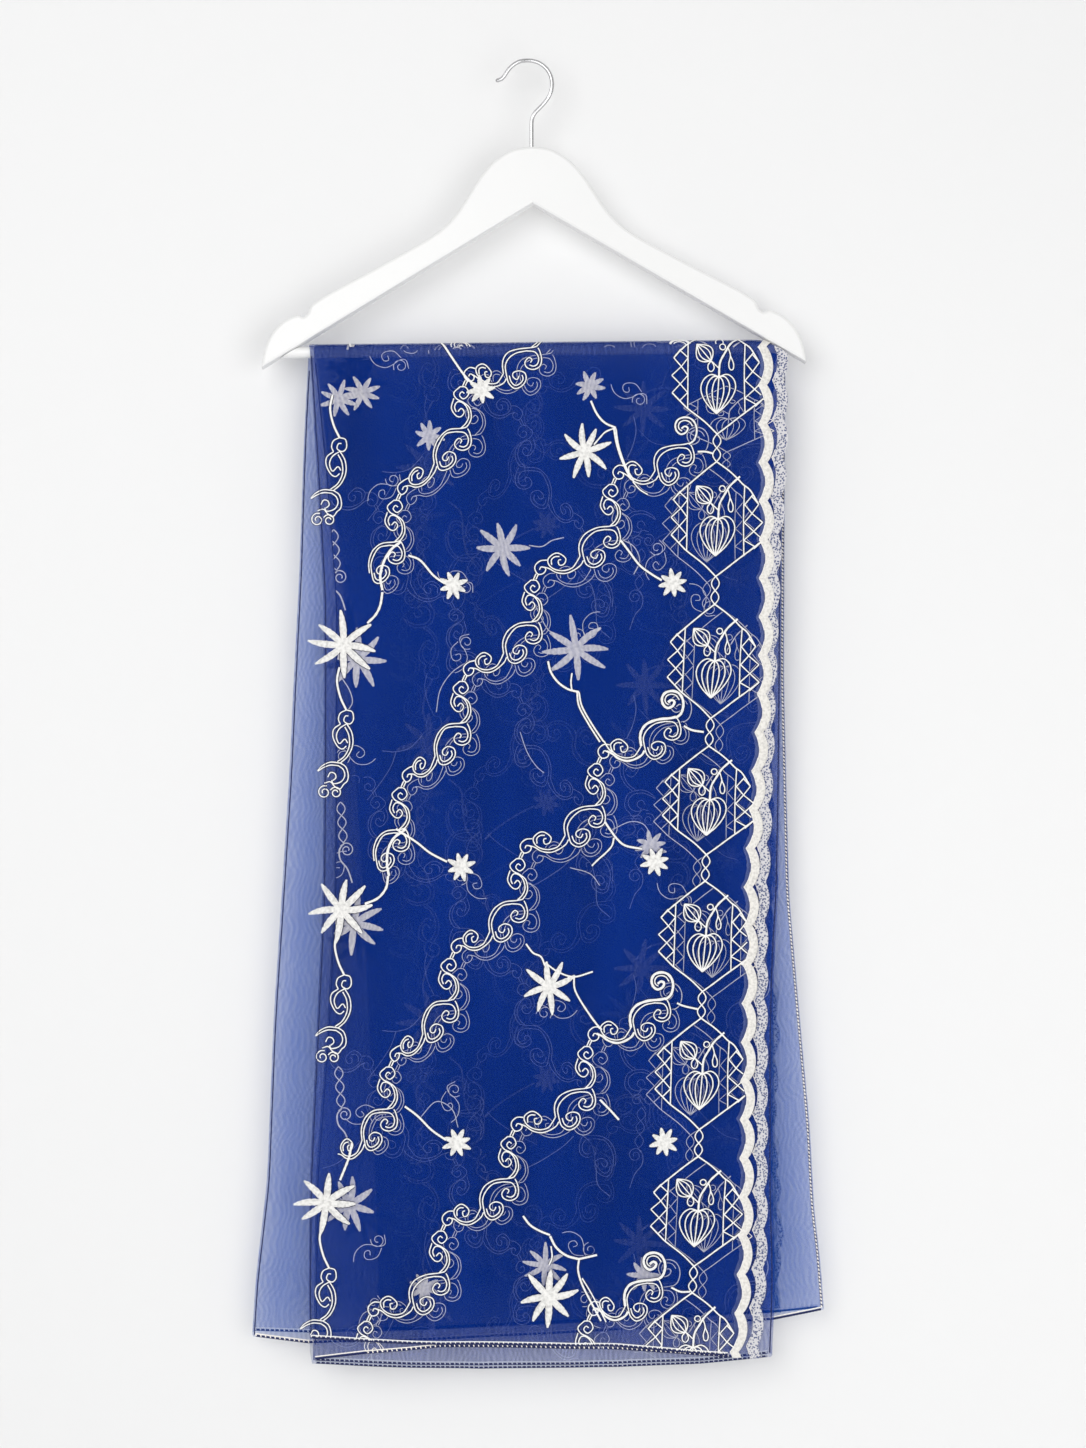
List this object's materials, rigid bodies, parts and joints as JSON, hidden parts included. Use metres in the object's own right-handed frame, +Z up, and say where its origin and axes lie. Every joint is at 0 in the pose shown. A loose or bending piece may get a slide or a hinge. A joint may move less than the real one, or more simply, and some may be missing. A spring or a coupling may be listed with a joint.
{
  "type": "dupatta stole on a hanger",
  "caption": "Sheer embroidered dupatta stole, folded lengthwise and hung over the trouser bar of a wooden hanger.",
  "frame": {"origin": "highest point inside the hanger's hook, where a rail or peg carries it", "axes": "+Z up along the hanging drop, +X along the hanger to the right as seen from the front, front faces -Y"},
  "size_m": [0.4665, 0.0307, 1.0684],
  "materials": {
    "organza_over_bar_inner": "sheer organza",
    "organza_over_bar_second": "sheer organza",
    "organza_over_bar_outer": "sheer organza",
    "organza_front_outer": "sheer organza",
    "organza_front_second": "sheer organza",
    "organza_front_inner": "sheer organza",
    "organza_back_inner": "sheer organza",
    "organza_back_second": "sheer organza",
    "organza_back_outer": "sheer organza",
    "thread_front_outer": "dense satin stitch",
    "thread_front_second": "dense satin stitch",
    "thread_back_second": "dense satin stitch",
    "thread_back_outer": "dense satin stitch",
    "white_paint": "white satin paint",
    "white_paint_bar": "white satin paint",
    "bright_steel": "bright"
  },
  "bodies": {
    "root": {"over_bar_inner": "organza_over_bar_inner", "over_bar_second": "organza_over_bar_second", "over_bar_outer": "organza_over_bar_outer", "front_outer": "organza_front_outer", "front_second": "organza_front_second", "front_inner_fold": "organza_front_inner", "back_inner_fold": "organza_back_inner", "back_second": "organza_back_second", "back_outer": "organza_back_outer", "trim_front_outer": "thread_front_outer", "trim_front_second": "thread_front_second", "trim_back_second": "thread_back_second", "trim_back_outer": "thread_back_outer", "hanger_body": "white_paint", "trouser_bar": "white_paint_bar", "hook": "bright_steel"}
  },
  "joints": []
}
